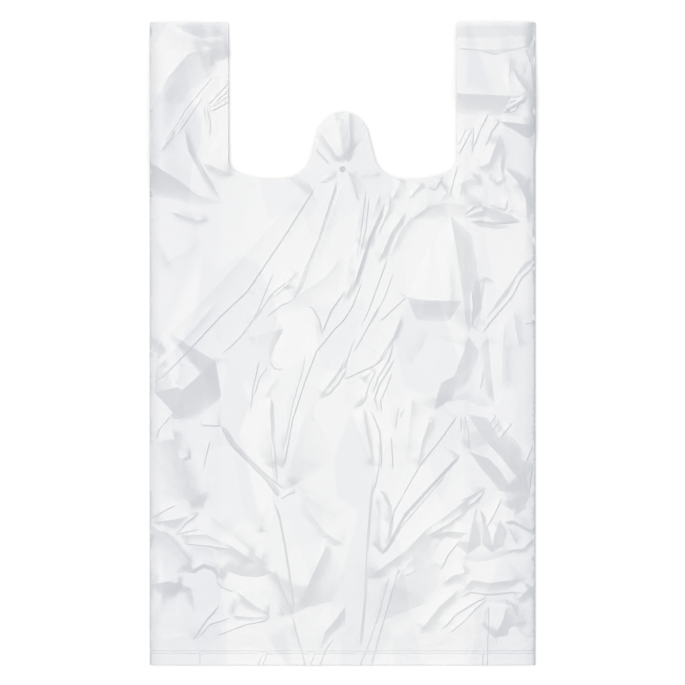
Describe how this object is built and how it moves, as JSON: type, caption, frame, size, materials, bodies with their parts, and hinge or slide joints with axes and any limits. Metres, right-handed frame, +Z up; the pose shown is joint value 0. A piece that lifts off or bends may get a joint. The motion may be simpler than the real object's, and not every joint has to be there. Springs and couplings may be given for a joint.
{
  "type": "plastic carrier bag",
  "caption": "Thin plastic carrier bag with vest handles, side gussets and a hanging tab, lying flat and lightly creased.",
  "frame": {"origin": "centre of the flat bag, on the surface that its back panel lies on", "axes": "+X across the bag to its right side seen from the front, +Y along the bag towards the handles, +Z up out of the front panel"},
  "size_m": [0.3, 0.5, 0.0088],
  "materials": {
    "film": "thin blown film, translucent white, satin gloss"
  },
  "bodies": {
    "root": {"carrier_bag": "film"}
  },
  "joints": []
}
